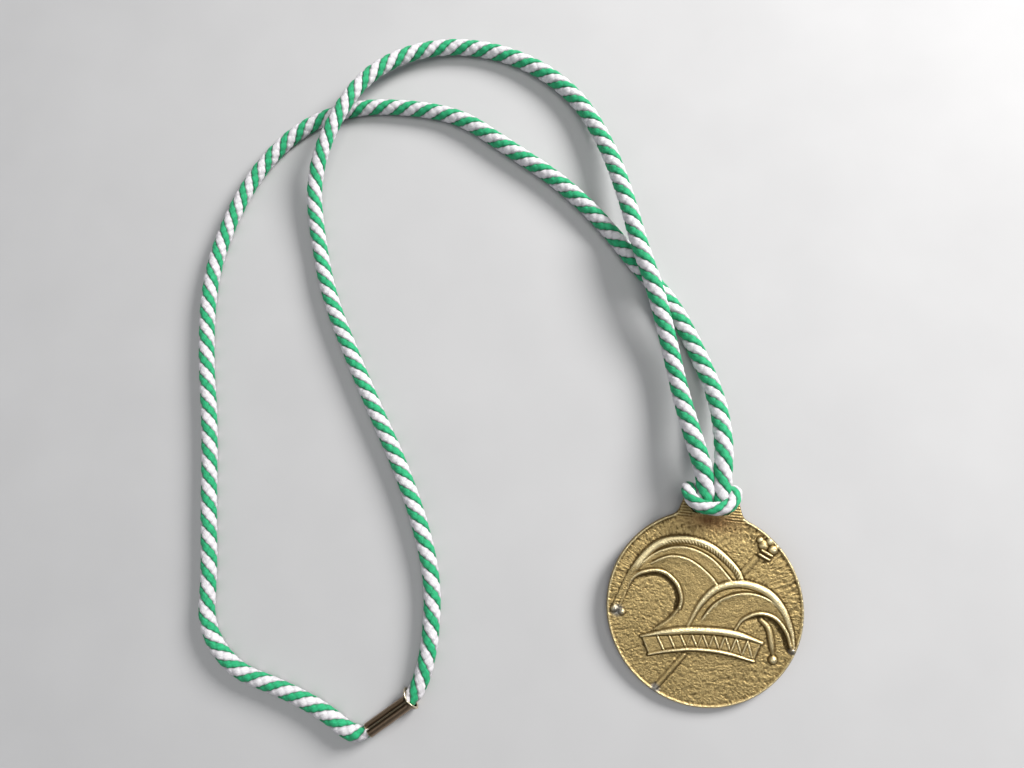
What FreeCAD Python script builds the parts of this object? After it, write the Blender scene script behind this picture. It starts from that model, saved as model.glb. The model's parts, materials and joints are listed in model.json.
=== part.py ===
"""Carnival medal on a neck cord: a cast medal, a braided cord tied to its ear, and a crimped sleeve.

Row frame, in mm: +Z up, the part lies on z = 0.  +Y runs from the disc to the ear.  The origin is under
the middle of the medal.  The medal is drawn flat in its own axes (u across, v towards the ear, w out of
its face) and is then tipped, because the knot behind the ear props that end up off the surface.
"""
import FreeCAD
import Part
import math
import os

V = FreeCAD.Vector

# ---- driving dimensions -------------------------------------------------------------------------
disc_radius = 27.5
back_face_radius = 25.4      # the flat back; outside it the edge is eased
edge_ease = 0.35             # how far the edge is eased at the rim
ground_height = 2.0          # sunk background of the front
rim_height = 2.5
rim_width = 0.9
relief_height = 0.7          # the cap's lobes above the background
band_height = 1.0            # the cap's band above the background

ear_thickness = 2.0
ear_foot_half_width = 9.3
ear_top_half_width = 7.4
ear_top = 31.6               # distance of the ear's top from the disc's centre
bar_height = 2.4             # bar of metal above the slot
slot_half_width = 6.7
slot_bottom = 25.1
slot_corner_radius = 0.8
ear_corner_radius = 1.2

cord_radius = 2.55
knot_radius = 1.6            # the cord is pulled flat and thin in the knot
knot_clearance = 0.15        # between the cord and the corners of the bar
knot_offset = 0.6            # the knot has slid a little to the right
tail_offset = 2.6            # each tail from the knot's middle, where it goes behind the bridge
crimped_radius = 1.9         # the cord's ends inside the sleeve
high_mouth_lead = 2.6        # how far the cord goes on in line with the sleeve at each mouth
low_mouth_lead = 4.2
table_clearance = 0.05
arc_share = 0.45             # share of the shorter run that each bend's arc takes

sleeve_radius = 2.3
sleeve_wall = 0.35
flare_radius = 2.6
flare_length = 0.8
seam_gap = 0.4

# ---- where the medal, its bar and the knot are ----------------------------------------------------
bar_v = ear_top - bar_height / 2
bar_w = edge_ease + ear_thickness / 2
slot_top = ear_top - bar_height
bar_corner = math.hypot(bar_height / 2, ear_thickness / 2)
wrap = bar_corner + knot_clearance + knot_radius           # from the bar's axis to the cord's centre
prop_height = wrap + knot_radius - bar_w + 2 * table_clearance
tilt = math.atan2(prop_height, bar_v + back_face_radius)
cos_tilt = math.cos(tilt)
sin_tilt = math.sin(tilt)
disc_y = -((ear_top - disc_radius) * cos_tilt - (edge_ease + rim_height) * sin_tilt) / 2
disc_z = back_face_radius * sin_tilt


def from_medal(u, v, w):
    """A point given in the medal's own axes, in the row frame."""
    return V(u, disc_y + v * cos_tilt - w * sin_tilt, disc_z + v * sin_tilt + w * cos_tilt)


def from_bar(u, up, out):
    """A point of the knot: u from the knot's middle, up and out from the bar's axis."""
    return from_medal(knot_offset + u, bar_v + up, bar_w + out)


# ---- the cord's route, chosen by hand --------------------------------------------------------------
lie = cord_radius + table_clearance      # height of the cord's centre where it lies on the surface
sleeve_low_mouth = V(-92.8, -47.5, lie)
sleeve_high_mouth = V(-81.6, -37.8, lie)
sleeve_axis = (sleeve_high_mouth - sleeve_low_mouth).normalize()

# from the sleeve's upper mouth up the inner side, over the top and down to the knot's left tail
left_route = [
    sleeve_high_mouth,
    sleeve_high_mouth + sleeve_axis * high_mouth_lead,
    V(-77.9, -30, lie),
    V(-77.6, -19, lie),
    V(-79, -3, lie),
    V(-85.4, 14, lie),
    V(-93.6, 30, lie),
    V(-102, 43.5, lie),
    V(-113, 62, lie),
    V(-124, 82, lie),
    V(-130.5, 102, lie),
    V(-133.6, 118, 4.6),
    V(-130, 134, 8.5),
    V(-121.2, 153.5, 8.7),
    V(-107, 165.2, 6.6),
    V(-88.4, 169.2, 5.1),
    V(-68.3, 165.2, 4.8),
    V(-50, 153.1, 5.2),
    V(-38.5, 135, 6.3),
    V(-31, 116.4, 8.1),
    V(-27.2, 104.5, 8.7),
    V(-20.4, 88.5, 8.5),
    V(-15.4, 74, 5.4),
    V(-10.8, 58, 5.6),
    V(-6, 44, 9.6),
]
# from the knot's right tail under the left run, round the outside and back to the sleeve's lower mouth
right_route = [
    V(4.4, 44, 9.6),
    V(0.4, 58, 4.8),
    V(-7.2, 73.5, 2.9),
    V(-15.2, 87, lie),
    V(-25.8, 97.5, lie),
    V(-38, 111.5, lie),
    V(-53, 124.5, lie),
    V(-71.5, 135.4, lie),
    V(-87.5, 145.2, lie),
    V(-105, 147.6, lie),
    V(-123.5, 147, lie),
    V(-140.5, 139.5, lie),
    V(-153.5, 124, lie),
    V(-161, 105, lie),
    V(-164.6, 84, lie),
    V(-161.6, 59, lie),
    V(-156, 36, lie),
    V(-152, 10, lie),
    V(-148.4, -9, lie),
    V(-147, -25, lie),
    V(-136, -36, lie),
    V(-121.5, -39, lie),
    V(-107, -43.6, lie),
    sleeve_low_mouth - sleeve_axis * low_mouth_lead,
    sleeve_low_mouth,
]
# one side of the knot: down in front of the bar, through the slot, up behind, over the top, to the bridge
knot_side = [
    (tail_offset, -wrap, wrap),
    (3.3, -wrap, -wrap),
    (5.3, wrap, -wrap),
    (7.0, wrap, wrap),
    (6.0, -2.6, 7.0),
]
tail_join_y = 35.0           # the full cord above this, the tightened cord of the knot below it


def tail_join(upper, foot):
    """Where a tail's run crosses tail_join_y."""
    share = (upper.y - tail_join_y) / (upper.y - foot.y)
    return upper + (foot - upper) * share


left_join = tail_join(left_route[-1], from_bar(-tail_offset, -wrap, wrap))
right_join = tail_join(right_route[0], from_bar(tail_offset, -wrap, wrap))


# ---- cord tubes ------------------------------------------------------------------------------------
def smooth_path(points, name):
    """Straight runs joined by tangent arcs, each arc as large as its two runs allow."""
    edges = []
    radii = []
    start = points[0]
    for before, corner, after in zip(points, points[1:], points[2:]):
        back = before - corner
        ahead = after - corner
        trim = arc_share * min(back.Length, ahead.Length)
        turn = math.pi - back.getAngle(ahead)
        radii.append(trim / math.tan(turn / 2))
        back.normalize()
        ahead.normalize()
        arc_start = corner + back * trim
        arc_end = corner + ahead * trim
        inward = (back + ahead).normalize()
        sagitta = radii[-1] * (1 / math.cos(turn / 2) - 1)
        edges.append(Part.LineSegment(start, arc_start).toShape())
        edges.append(Part.Arc(arc_start, corner + inward * sagitta, arc_end).toShape())
        start = arc_end
    edges.append(Part.LineSegment(start, points[-1]).toShape())
    print(name, "arc radii", " ".join("%.1f" % radius for radius in radii))
    return Part.Wire(edges)


def tube(points, radius, name):
    """A round solid along a smooth path, with its volume compared with section times length."""
    path = smooth_path(points, name)
    direction = points[1] - points[0]
    section = Part.Wire(Part.makeCircle(radius, points[0], direction))
    solid = path.makePipeShell([section], True, False)
    expected = math.pi * radius ** 2 * path.Length
    ratio = solid.Volume / expected
    print(name, "length %.1f, volume over section times length %.4f" % (path.Length, ratio))
    return solid


def crimped_end(mouth, far_mouth):
    """The cord's end squeezed in its half of the sleeve."""
    inward = far_mouth - mouth
    half = inward.Length / 2 - table_clearance
    return Part.makeCylinder(crimped_radius, half, mouth, inward)


def make_left_run():
    cord = tube(left_route + [left_join], cord_radius, "cord_left_run")
    return cord.fuse(crimped_end(sleeve_high_mouth, sleeve_low_mouth)).removeSplitter()


def make_right_run():
    cord = tube([right_join] + right_route, cord_radius, "cord_right_run")
    return cord.fuse(crimped_end(sleeve_low_mouth, sleeve_high_mouth)).removeSplitter()


def make_knot():
    left = [from_bar(-u, up, out) for u, up, out in knot_side]
    right = [from_bar(u, up, out) for u, up, out in reversed(knot_side)]
    return tube([left_join] + left + right + [right_join], knot_radius, "cord_knot")


# ---- crimp sleeve ----------------------------------------------------------------------------------
def turned(profile, base, axis):
    """A solid turned about axis through base from (radius, distance along the axis) points."""
    points = [V(radius, 0, along) for radius, along in profile]
    face = Part.Face(Part.makePolygon(points + [points[0]]))
    solid = face.revolve(V(0, 0, 0), V(0, 0, 1), 360)
    solid.Placement = FreeCAD.Placement(base, FreeCAD.Rotation(V(0, 0, 1), axis))
    return solid


def make_sleeve():
    """Sheet rolled round the two cord ends: flared mouths and an open seam along the top."""
    axis = sleeve_high_mouth - sleeve_low_mouth
    length = axis.Length
    bore = sleeve_radius - sleeve_wall
    mouth = flare_radius - sleeve_wall
    profile = [
        (mouth, 0),
        (flare_radius, 0),
        (sleeve_radius, flare_length),
        (sleeve_radius, length - flare_length),
        (flare_radius, length),
        (mouth, length),
        (bore, length - flare_length),
        (bore, flare_length),
    ]
    sheet = turned(profile, sleeve_low_mouth, axis)
    inside_bore = bore / 2       # the cut starts inside the bore, so it opens the whole wall
    seam = Part.makeBox(seam_gap, length, flare_radius, V(-seam_gap / 2, 0, inside_bore))
    seam.Placement = FreeCAD.Placement(sleeve_low_mouth, FreeCAD.Rotation(V(0, 1, 0), axis))
    return sheet.cut(seam)


# ---- medal casting ---------------------------------------------------------------------------------
def flat_face(edges):
    return Part.Face(Part.Wire(edges))


def arc(a, b, c):
    return Part.Arc(V(*a, 0), V(*b, 0), V(*c, 0)).toShape()


def line(a, b):
    return Part.LineSegment(V(*a, 0), V(*b, 0)).toShape()


def raised(face, height):
    """A raised pad of the relief, rooted in the background."""
    pad = face.extrude(V(0, 0, height + ground_height / 2))
    pad.translate(V(0, 0, ground_height / 2))
    return pad


def make_disc():
    """Turned disc: flat back with an eased edge, raised rim, sunk background."""
    profile = [
        (0, 0),
        (back_face_radius, 0),
        (disc_radius, edge_ease),
        (disc_radius, rim_height),
        (disc_radius - rim_width, rim_height),
        (disc_radius - rim_width, ground_height),
        (0, ground_height),
    ]
    return turned(profile, V(0, 0, 0), V(0, 0, 1))


def make_ear():
    """Tapered ear whose flanks run into the rim, with rounded top corners."""
    foot_v = math.sqrt(disc_radius ** 2 - ear_foot_half_width ** 2) - rim_width
    outline = [
        (-ear_foot_half_width, foot_v),
        (ear_foot_half_width, foot_v),
        (ear_top_half_width, ear_top),
        (-ear_top_half_width, ear_top),
    ]
    face = Part.Face(Part.makePolygon([V(u, v, edge_ease) for u, v in outline + outline[:1]]))
    ear = face.extrude(V(0, 0, ear_thickness))
    top_edges = [e for e in ear.Edges if e.Length < ear_thickness + 0.01 and e.CenterOfMass.y > slot_top]
    return ear.makeFillet(ear_corner_radius, top_edges)


def make_slot():
    slot_width = 2 * slot_half_width
    through = 3 * rim_height
    corner = V(-slot_half_width, slot_bottom, -rim_height)
    cut = Part.makeBox(slot_width, slot_top - slot_bottom, through, corner)
    corners = [e for e in cut.Edges if abs(e.Length - through) < 0.01]
    return cut.makeFillet(slot_corner_radius, corners)


def make_cap_relief():
    """The jester's cap in low relief: two curling lobes and the band."""
    left_lobe = flat_face([
        arc((-25.4, -3), (-18, 13.5), (-3, 18.2)),
        arc((-3, 18.2), (5, 14.4), (10, 7)),
        line((10, 7), (8, -7)),
        line((8, -7), (-7.5, -7)),
        arc((-7.5, -7), (-6.6, 0), (-9.5, 6.5)),
        arc((-9.5, 6.5), (-16.5, 8.6), (-23.6, -3)),
        line((-23.6, -3), (-25.4, -3)),
    ])
    right_lobe = flat_face([
        arc((25, -8), (13, 8.2), (-3.6, -7)),
        line((-3.6, -7), (8.6, -7)),
        arc((8.6, -7), (16, 0.4), (23.6, -8)),
        line((23.6, -8), (25, -8)),
    ])
    band = flat_face([
        arc((-17, -9.8), (0, -5.8), (16.2, -7.6)),
        line((16.2, -7.6), (14.5, -13)),
        arc((14.5, -13), (0, -11.4), (-14.6, -14.7)),
        line((-14.6, -14.7), (-17, -9.8)),
    ])
    lobes = raised(left_lobe, relief_height).fuse(raised(right_lobe, relief_height))
    return lobes.fuse(raised(band, band_height))


def make_medal():
    medal = make_disc().fuse(make_ear()).fuse(make_cap_relief()).cut(make_slot()).removeSplitter()
    tip = FreeCAD.Rotation(V(1, 0, 0), math.degrees(tilt))
    medal.Placement = FreeCAD.Placement(V(0, disc_y, disc_z), tip)
    return medal


# ---- write every node ------------------------------------------------------------------------------
def main():
    os.makedirs("parts", exist_ok=True)
    nodes = {
        "medal_casting": make_medal(),
        "cord_left_run": make_left_run(),
        "cord_knot": make_knot(),
        "cord_right_run": make_right_run(),
        "crimp_sleeve": make_sleeve(),
    }
    for name, shape in nodes.items():
        box = shape.BoundBox
        print("%-16s solids %d valid %s volume %.1f box x %.2f..%.2f y %.2f..%.2f z %.2f..%.2f" % (
            name, len(shape.Solids), shape.isValid(), shape.Volume,
            box.XMin, box.XMax, box.YMin, box.YMax, box.ZMin, box.ZMax))
        shape.exportStep("parts/%s.step" % name)
    bar = from_medal(0, bar_v, bar_w)
    back = from_medal(0, 0, 0)
    print("tilt %.4f deg" % math.degrees(tilt))
    print("bar axis y %.3f z %.3f" % (bar.y, bar.z))
    print("back face centre y %.3f z %.3f, normal 0 %.5f %.5f" % (back.y, back.z, sin_tilt, -cos_tilt))


main()
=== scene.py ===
"""The looks of the carnival medal, its braided neck cord and the crimp sleeve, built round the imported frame.

Shapes are worked out in mm and turned into metres when a mesh is made.  The medal is drawn in its own axes
(u across, v towards the ear, w out of its face), which the record's medal_back mount places in the frame.
"""
import json
import math

import bpy
import numpy as np
from mathutils import Matrix, Vector
from mathutils.geometry import delaunay_2d_cdt


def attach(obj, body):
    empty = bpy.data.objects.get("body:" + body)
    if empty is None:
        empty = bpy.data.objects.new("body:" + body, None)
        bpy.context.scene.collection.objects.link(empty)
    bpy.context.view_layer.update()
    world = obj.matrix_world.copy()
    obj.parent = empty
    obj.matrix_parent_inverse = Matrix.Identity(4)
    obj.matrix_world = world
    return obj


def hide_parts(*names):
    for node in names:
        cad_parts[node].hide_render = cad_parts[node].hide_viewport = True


MM = 0.001
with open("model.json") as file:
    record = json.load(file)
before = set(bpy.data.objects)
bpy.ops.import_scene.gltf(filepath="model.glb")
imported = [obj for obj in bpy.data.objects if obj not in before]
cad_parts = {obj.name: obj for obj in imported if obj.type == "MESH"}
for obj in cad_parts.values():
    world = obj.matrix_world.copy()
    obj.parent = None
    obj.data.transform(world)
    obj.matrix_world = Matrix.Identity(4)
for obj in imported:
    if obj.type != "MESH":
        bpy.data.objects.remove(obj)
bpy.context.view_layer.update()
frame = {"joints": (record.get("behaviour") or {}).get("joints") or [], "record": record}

# ---- sizes shared with the CAD, in mm ---------------------------------------------------------------
disc_radius = 27.5
back_face_radius = 25.4
edge_ease = 0.35
ground_height = 2.0
rim_height = 2.36
rim_width = 0.65
ear_front = 2.35
ear_foot = (9.3, 25.9)
ear_top_corner = (7.4, 31.6)
slot_middle_v = 27.95
slot_half = (5.4, 1.25)
slot_corner_radius = 1.2
bar_v = 30.4
bar_w = 1.35
cord_diameter = 5.1
lie = 2.6
sleeve_low_mouth = np.array([-92.8, -47.5, lie])
sleeve_high_mouth = np.array([-81.6, -37.8, lie])
sleeve_length = np.linalg.norm(sleeve_high_mouth - sleeve_low_mouth)
sleeve_axis = (sleeve_high_mouth - sleeve_low_mouth) / sleeve_length

# ---- the medal's own axes ---------------------------------------------------------------------------
back_mount = next(m for m in frame["record"]["mounts"] if m["name"] == "medal_back")
medal_origin = np.array(back_mount["pos_m"]) / MM
medal_w = -np.array(back_mount["axis"])
medal_u = np.array([1.0, 0.0, 0.0])
medal_v = np.cross(medal_w, medal_u)
bar_middle = np.array(frame["joints"][0]["pos_m"]) / MM


def from_medal(u, v, w):
    """Points given in the medal's axes, in the frame, in mm."""
    return medal_origin + np.multiply.outer(u, medal_u) + np.multiply.outer(v, medal_v) \
        + np.multiply.outer(w, medal_w)


# ---- numbers ----------------------------------------------------------------------------------------
noise_lattice = np.random.default_rng(11).random((128, 128))


def smooth_step(low, high, x):
    t = np.clip((x - low) / (high - low), 0, 1)
    return t * t * (3 - 2 * t)


def value_noise(x, y):
    """Smooth noise from 0 to 1 with one cell per unit."""
    column = np.floor(x).astype(int)
    row = np.floor(y).astype(int)
    across = smooth_step(0, 1, x - column)
    up = smooth_step(0, 1, y - row)
    size = len(noise_lattice)

    def corner(i, j):
        return noise_lattice[(column + i) % size, (row + j) % size]

    low = corner(0, 0) * (1 - across) + corner(1, 0) * across
    high = corner(0, 1) * (1 - across) + corner(1, 1) * across
    return low * (1 - up) + high * up


def through(points, steps=14):
    """A smooth line through given points."""
    points = np.array(points, float)
    padded = np.vstack([2 * points[0] - points[1], points, 2 * points[-1] - points[-2]])
    t = np.linspace(0, 1, steps, endpoint=False)[:, None]
    pieces = []
    for a, b, c, d in zip(padded, padded[1:], padded[2:], padded[3:]):
        pieces.append(0.5 * (2 * b + (c - a) * t + (2 * a - 5 * b + 4 * c - d) * t ** 2
                             + (3 * b - a - 3 * c + d) * t ** 3))
    return np.vstack(pieces + [points[-1:]])


def along(line, u, v):
    """For each point: distance to the line, length along it to the nearest place, and which side it is on."""
    best = np.full(u.shape, 1e9)
    travelled = np.zeros(u.shape)
    side = np.ones(u.shape)
    length = 0.0
    for start, end in zip(line, line[1:]):
        run = end - start
        run_length = np.hypot(*run)
        if run_length < 1e-9:
            continue
        du = u - start[0]
        dv = v - start[1]
        share = np.clip((du * run[0] + dv * run[1]) / run_length ** 2, 0, 1)
        distance = np.hypot(du - share * run[0], dv - share * run[1])
        nearer = distance < best
        best = np.where(nearer, distance, best)
        travelled = np.where(nearer, length + share * run_length, travelled)
        side = np.where(nearer, np.sign(run[0] * dv - run[1] * du), side)
        length += run_length
    return best, travelled, side, length


def depth_inside(loop, u, v):
    """Distance inside a closed loop, negative outside it."""
    closed = np.vstack([loop, loop[:1]])
    distance = along(closed, u, v)[0]
    inside = np.zeros(u.shape, bool)
    for a, b in zip(closed, closed[1:]):
        crosses = (a[1] > v) != (b[1] > v)
        rise = b[1] - a[1] if b[1] != a[1] else 1e-9
        inside ^= crosses & (u < a[0] + (v - a[1]) * (b[0] - a[0]) / rise)
    return np.where(inside, distance, -distance)


# ---- meshes -----------------------------------------------------------------------------------------
def mesh_object(name, points, faces, material, attributes=None, uv=None):
    """A smooth-shaded object from points in mm and faces that all have the same number of corners."""
    faces = np.asarray(faces, np.int32)
    corners = faces.shape[1]
    mesh = bpy.data.meshes.new(name)
    mesh.vertices.add(len(points))
    mesh.vertices.foreach_set("co", (np.asarray(points) * MM).astype(np.float32).ravel())
    mesh.loops.add(faces.size)
    mesh.loops.foreach_set("vertex_index", faces.ravel())
    mesh.polygons.add(len(faces))
    mesh.polygons.foreach_set("loop_start", np.arange(0, faces.size, corners, dtype=np.int32))
    mesh.polygons.foreach_set("use_smooth", np.ones(len(faces), bool))
    for key, values in (attributes or {}).items():
        layer = mesh.attributes.new(key, "FLOAT", "POINT")
        layer.data.foreach_set("value", np.asarray(values, np.float32))
    if uv is not None:
        layer = mesh.uv_layers.new(name="surface")
        layer.data.foreach_set("uv", np.asarray(uv, np.float32)[faces.ravel()].ravel())
    mesh.update(calc_edges=True)
    mesh.validate()
    mesh.materials.append(material)
    made = bpy.data.objects.new(name, mesh)
    bpy.context.scene.collection.objects.link(made)
    return made


def grid_faces(rows, columns):
    """Quads of a grid of points stored row by row."""
    row = np.arange(rows - 1)[:, None] * columns
    corner = row + np.arange(columns - 1)[None, :]
    quads = np.stack([corner, corner + 1, corner + columns + 1, corner + columns], -1)
    return quads.reshape(-1, 4)


def neighbour_mean(values, edges):
    """Each vertex's mean over its neighbours."""
    total = np.zeros(len(values))
    count = np.zeros(len(values))
    for here, there in ((0, 1), (1, 0)):
        np.add.at(total, edges[:, here], values[edges[:, there]])
        np.add.at(count, edges[:, here], 1)
    return total / np.maximum(count, 1)


# ---- materials --------------------------------------------------------------------------------------
class Nodes:
    """A short way to write a material's node tree."""

    def __init__(self, name):
        self.material = bpy.data.materials.new(name)
        self.material.use_nodes = True
        self.tree = self.material.node_tree
        self.shader = self.tree.nodes["Principled BSDF"]

    def node(self, kind, settings=None, **inputs):
        made = self.tree.nodes.new(kind)
        for key, value in (settings or {}).items():
            setattr(made, key, value)
        for key, value in inputs.items():
            self.feed(made.inputs[key.replace("_", " ")], value)
        return made

    def feed(self, socket, value):
        if isinstance(value, bpy.types.NodeSocket):
            self.tree.links.new(value, socket)
        else:
            socket.default_value = value

    def attribute(self, name):
        return self.node("ShaderNodeAttribute", {"attribute_name": name}).outputs["Fac"]

    def math(self, operation, a, b):
        made = self.node("ShaderNodeMath", {"operation": operation})
        self.feed(made.inputs[0], a)
        self.feed(made.inputs[1], b)
        return made.outputs[0]

    def mix(self, share, a, b):
        made = self.node("ShaderNodeMix", {"data_type": "RGBA"})
        self.feed(made.inputs[0], share)
        self.feed(made.inputs[6], a)
        self.feed(made.inputs[7], b)
        return made.outputs[2]

    def spread(self, value, low, high, to_low=0.0, to_high=1.0):
        made = self.node("ShaderNodeMapRange", {"clamp": True})
        for index, entry in enumerate((value, low, high, to_low, to_high)):
            self.feed(made.inputs[index], entry)
        return made.outputs[0]

    def noise(self, vector, scale, detail, roughness):
        settings = {"Vector": vector, "Scale": scale, "Detail": detail, "Roughness": roughness}
        return self.node("ShaderNodeTexNoise", **settings).outputs["Fac"]

    def stretched(self, vector, scale):
        made = self.node("ShaderNodeMapping", Vector=vector)
        made.inputs["Scale"].default_value = scale
        return made.outputs[0]

    def bump(self, height, distance, strength, normal=None):
        made = self.node("ShaderNodeBump", Height=height, Distance=distance, Strength=strength)
        if normal is not None:
            self.feed(made.inputs["Normal"], normal)
        return made.outputs[0]

    def place(self):
        return self.node("ShaderNodeTexCoord").outputs["Object"]

    def surface(self):
        return self.node("ShaderNodeTexCoord").outputs["UV"]

    def finish(self, **inputs):
        for key, value in inputs.items():
            self.feed(self.shader.inputs[key.replace("_", " ")], value)
        return self.material


def brass_material():
    """Cast antique brass: painted shade in the hollows, a painted shadow below the knot, mid on the faces, and
    ridges rubbed bright with painted highlights.
    """
    n = Nodes("antique_brass")
    place = n.place()
    blotches = n.noise(place, 160.0, 4.0, 0.6)
    grain = n.noise(place, 2600.0, 3.0, 0.7)
    wear_and_highlight = n.attribute("wear_and_highlight")
    hollow = n.attribute("hollow")
    painted_knot_shadow = n.attribute("painted_knot_shadow")
    bare = n.attribute("bare")
    face = n.mix(blotches, (0.44, 0.325, 0.140, 1), (0.58, 0.440, 0.205, 1))
    speckled = n.mix(n.spread(grain, 0.40, 0.68, 0.0, 0.6), face, (0.24, 0.165, 0.065, 1))
    # painted shade in the hollows and under the curls' lips, made a little uneven by the grain
    uneven = n.math("MULTIPLY", hollow, n.spread(grain, 0.2, 0.7, 1.0, 0.75))
    hollows_shaded = n.mix(uneven, speckled, (0.060, 0.036, 0.013, 1))
    # painted shadow of the knot, dark red-brown, on the ear's foot below the bridge
    knot_shadow_share = n.math("MULTIPLY", painted_knot_shadow, n.spread(blotches, 0.3, 0.7, 0.6, 1.0))
    knot_shadowed = n.mix(knot_shadow_share, hollows_shaded, (0.13, 0.05, 0.022, 1))
    # rubbed ridges painted pale: partly real wear, partly painted highlight
    rubbed = n.mix(n.spread(wear_and_highlight, 0.15, 0.9, 0.0, 0.85), knot_shadowed, (1.0, 0.86, 0.52, 1))
    colour = n.mix(bare, rubbed, (0.30, 0.29, 0.27, 1))
    dull = n.spread(blotches, 0.3, 0.7, 0.36, 0.50)
    smoother = n.math("SUBTRACT", dull, n.math("MULTIPLY", wear_and_highlight, 0.06))
    roughness = n.math("ADD", smoother, n.math("MULTIPLY", hollow, 0.2))
    relief = n.bump(grain, 0.00017, 1.0)
    fine = n.bump(n.noise(place, 1000.0, 2.0, 0.6), 0.00022, 0.7, relief)
    return n.finish(Base_Color=colour, Metallic=1.0, Roughness=roughness, Normal=fine)


def sleeve_material():
    """Thin bronzed sheet with streaks along it, rubbed edges painted bright as highlights, and painted shade
    in the seam and inside.
    """
    n = Nodes("sleeve_metal")
    place = n.place()
    streaks = n.noise(n.stretched(n.surface(), (40.0, 1.6, 1.0)), 1.0, 4.0, 0.6)
    spots = n.noise(place, 1500.0, 3.0, 0.7)
    tone = n.mix(streaks, (0.13, 0.085, 0.055, 1), (0.42, 0.31, 0.21, 1))
    stained = n.mix(n.spread(spots, 0.55, 0.75, 0.0, 0.6), tone, (0.05, 0.035, 0.025, 1))
    # painted shade in the seam's valley and on the inner shell
    valley = n.mix(n.attribute("hollow"), stained, (0.045, 0.026, 0.012, 1))
    # rims and seam lips painted pale: rubbed edges with painted highlights
    colour = n.mix(n.attribute("wear_and_highlight"), valley, (0.80, 0.70, 0.52, 1))
    roughness = n.spread(streaks, 0.3, 0.7, 0.24, 0.42)
    scratched = n.bump(streaks, 0.00005, 0.6, n.bump(spots, 0.00004, 0.5))
    return n.finish(Base_Color=colour, Metallic=1.0, Roughness=roughness, Normal=scratched)


def cord_material(name, dark, mid, light):
    """Braided filament yarn: fine filaments along each stitch, and painted shade in the grooves where the yarn
    dives under.
    """
    n = Nodes(name)
    surface = n.surface()
    filaments = n.noise(n.stretched(surface, (7.0, 0.9, 1.0)), 1.0, 4.0, 0.65)
    tufts = n.noise(n.stretched(surface, (1.2, 0.5, 1.0)), 1.0, 2.0, 0.5)
    sunk = n.attribute("sunk")
    yarn = n.mix(n.spread(filaments, 0.3, 0.7), mid, light)
    patchy = n.mix(n.spread(tufts, 0.35, 0.7, 0.0, 0.35), yarn, dark)
    # painted shade in the grooves between stripes and between stitches
    colour = n.mix(n.spread(sunk, 0.20, 0.95, 0.0, 0.95), patchy, dark)
    combed = n.bump(filaments, 0.00022, 0.9)
    n.shader.inputs["Sheen Weight"].default_value = 0.12
    n.shader.inputs["Sheen Roughness"].default_value = 0.4
    n.shader.inputs["Specular IOR Level"].default_value = 0.35
    return n.finish(Base_Color=colour, Roughness=n.spread(filaments, 0.3, 0.7, 0.55, 0.75), Normal=combed)


def floor_material():
    n = Nodes("studio_floor")
    mottled = n.noise(n.place(), 30.0, 3.0, 0.5)
    return n.finish(Base_Color=n.mix(mottled, (0.46, 0.46, 0.47, 1), (0.52, 0.52, 0.53, 1)), Roughness=0.9,
                    Specular_IOR_Level=0.1)


# ---- the cord ---------------------------------------------------------------------------------------
# The route's points, in mm: from the sleeve's upper mouth round to the knot's left tail.
left_route = [
    tuple(sleeve_high_mouth + (-0.36, 0.24, 0.1)),
    tuple(sleeve_high_mouth + sleeve_axis * 1.6 + (-0.36, 0.24, 0.1)),
    (-78.5, -30.3, lie),
    (-77.6, -19, lie),
    (-79, -3, lie),
    (-85.4, 14, lie),
    (-93.6, 30, lie),
    (-102, 43.5, lie),
    (-113, 62, lie),
    (-124, 82, lie),
    (-130.5, 102, lie),
    (-133.6, 118, 4.6),
    (-130, 134, 8.5),
    (-121.4, 153.8, 8.2),
    (-107.6, 166.5, 4.6),
    (-89, 170.8, 2.7),
    (-68.6, 166.6, lie),
    (-50.2, 154.4, 2.9),
    (-38.5, 135.8, 4.8),
    (-31, 116.6, 7.6),
    (-27.2, 104.5, 8.7),
    (-20.4, 88.5, 8.5),
    (-15.4, 74, 5.4),
    (-10.8, 58, 5.6),
    (-6.3, 44.3, 9.2),
    (-2.4, 34, 9.3),
]
# from the knot's right tail under the left run and back to the sleeve's lower mouth
right_route = [
    (2.0, 34, 9.3),
    (2.2, 43.5, 9.2),
    (0.1, 58, 4.8),
    (-7.2, 73.5, 2.9),
    (-15.2, 87, lie),
    (-25.8, 97.5, lie),
    (-38, 111.5, lie),
    (-53, 124.5, lie),
    (-71.5, 135.4, lie),
    (-87.5, 145.2, lie),
    (-105, 147.6, lie),
    (-123.5, 147, lie),
    (-140.5, 139.5, lie),
    (-153.5, 124, lie),
    (-161, 105, lie),
    (-164.6, 84, lie),
    (-161.6, 59, lie),
    (-156, 36, lie),
    (-152, 10, lie),
    (-148.4, -9, lie),
    (-147, -25, lie),
    (-136, -36, lie),
    (-121.5, -39, lie),
    (-107, -43.6, lie),
    tuple(sleeve_low_mouth - sleeve_axis * 4.2),
    tuple(sleeve_low_mouth),
]
# the knot's two sides, from the bar: across, up, and out of the face
left_knot = [
    (-2.3, -2.45, 3.7),
    (-3.1, -2.45, -3.1),
    (-5.2, 3.1, -3.2),
    (-7.5, 3.6, 3.2),
    (-6.5, -0.7, 6.4),
    (-0.7, -2.6, 7.0),
]
right_knot = [
    (2.5, -2.45, 3.7),
    (3.0, -2.45, -3.1),
    (4.6, 3.1, -3.2),
    (6.1, 3.9, 3.2),
    (5.1, -0.7, 6.4),
]

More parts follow.
